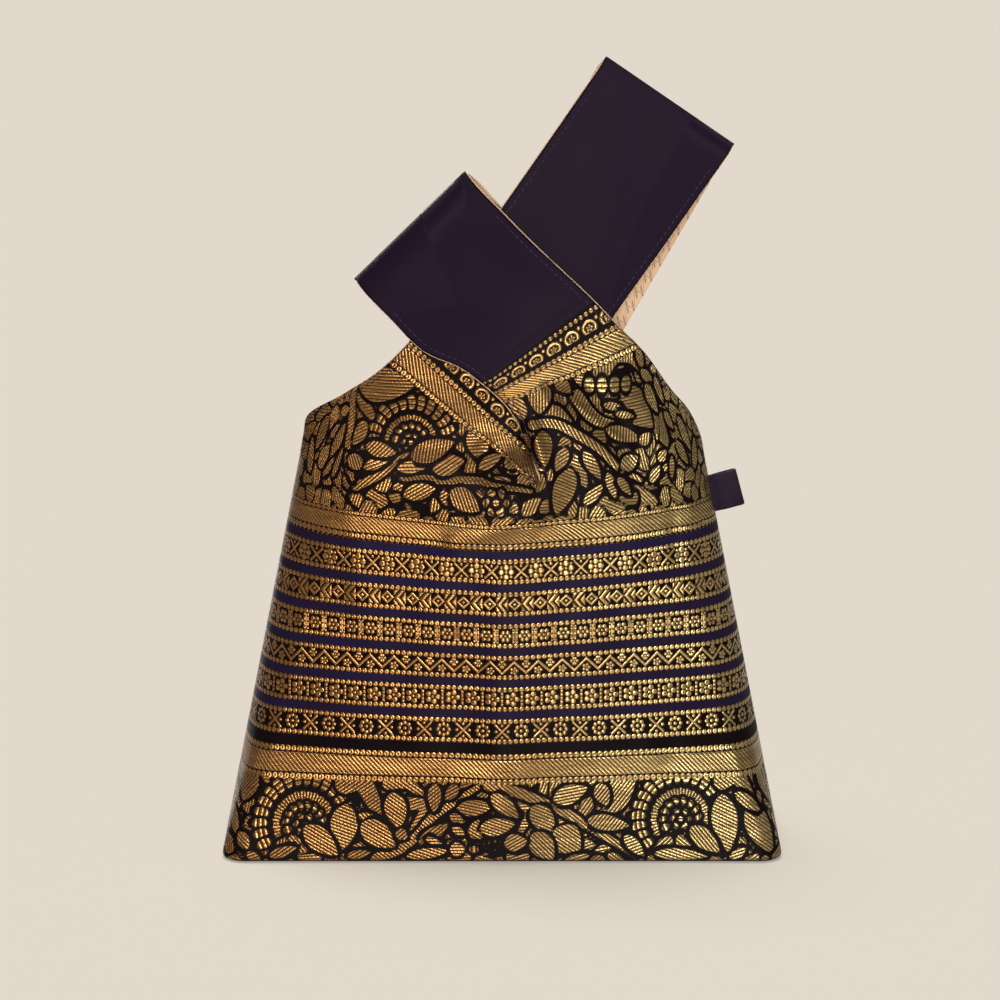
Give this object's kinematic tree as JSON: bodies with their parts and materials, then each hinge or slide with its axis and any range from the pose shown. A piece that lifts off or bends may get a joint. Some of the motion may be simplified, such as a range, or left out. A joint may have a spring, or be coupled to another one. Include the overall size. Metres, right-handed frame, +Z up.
{
  "type": "knot bag",
  "caption": "Fabric knot bag standing on its boxed base, closed by passing its long loop handle through its short one, with woven ornamental bands.",
  "frame": {"origin": "middle of the base, on the surface that the bag stands on", "axes": "+X to the right, the front faces -Y, +Z up"},
  "size_m": [0.2638, 0.1024, 0.3743],
  "materials": {
    "brocade": "silk satin with woven gold-coloured bands",
    "lining": "tan figured silk",
    "board": "plain grey board",
    "satin": "dark aubergine satin"
  },
  "bodies": {
    "root": {"outer_front": "brocade", "outer_back": "brocade", "lining_front": "lining", "lining_back": "lining", "base_board": "board", "side_tab": "satin"}
  },
  "joints": []
}
